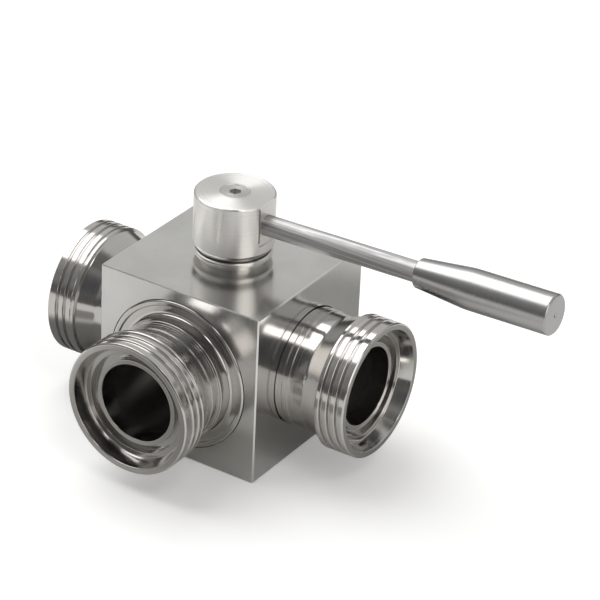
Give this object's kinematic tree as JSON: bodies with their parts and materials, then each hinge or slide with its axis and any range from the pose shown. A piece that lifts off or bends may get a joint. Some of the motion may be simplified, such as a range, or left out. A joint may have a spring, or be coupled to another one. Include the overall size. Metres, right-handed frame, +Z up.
{
  "type": "three way valve",
  "caption": "Square-block three way ball valve in stainless steel with threaded union ends on the run and the branch, and a lever that turns a T-ported ball.",
  "frame": {"origin": "centre of the block's underside, on the stem axis", "axes": "+Z up the stem, +X along the run towards the lever, -Y along the branch port"},
  "size_m": [0.2506, 0.1263, 0.1215],
  "materials": {
    "block_steel": "ground and lightly brushed",
    "turned_steel": "fine turned",
    "polished_steel": "polished",
    "hub_steel": "turned, face cut in rings",
    "screw_steel": "satin",
    "lever_steel": "drawn bar, bright",
    "grip_steel": "fine turned",
    "seat_plastic": "smooth white fluoroplastic",
    "elastomer": "smooth black elastomer"
  },
  "bodies": {
    "valve_body": {"block": "block_steel", "branch_end": "turned_steel", "run_end_right": "turned_steel", "run_end_left": "turned_steel", "end_seal_branch": "elastomer", "end_seal_right": "elastomer", "end_seal_left": "elastomer", "seat_branch": "seat_plastic", "seat_right": "seat_plastic", "seat_left": "seat_plastic", "seat_back": "seat_plastic", "thrust_washer": "seat_plastic", "packing_lower": "seat_plastic", "packing_upper": "seat_plastic", "packing_follower": "turned_steel", "stem_bush": "seat_plastic", "gland_nut": "turned_steel"},
    "handle": {"ball": "polished_steel", "stem": "polished_steel", "stem_o_ring": "elastomer", "hub": "hub_steel", "hub_screw": "screw_steel", "lever_rod": "lever_steel", "lever_grip": "grip_steel"}
  },
  "joints": [
    {"name": "stem_turn", "type": "hinge", "parent": "valve_body", "child": "handle", "pos_m": [0, 0, 0.043], "axis": [0, 0, 1], "continuous": true}
  ]
}
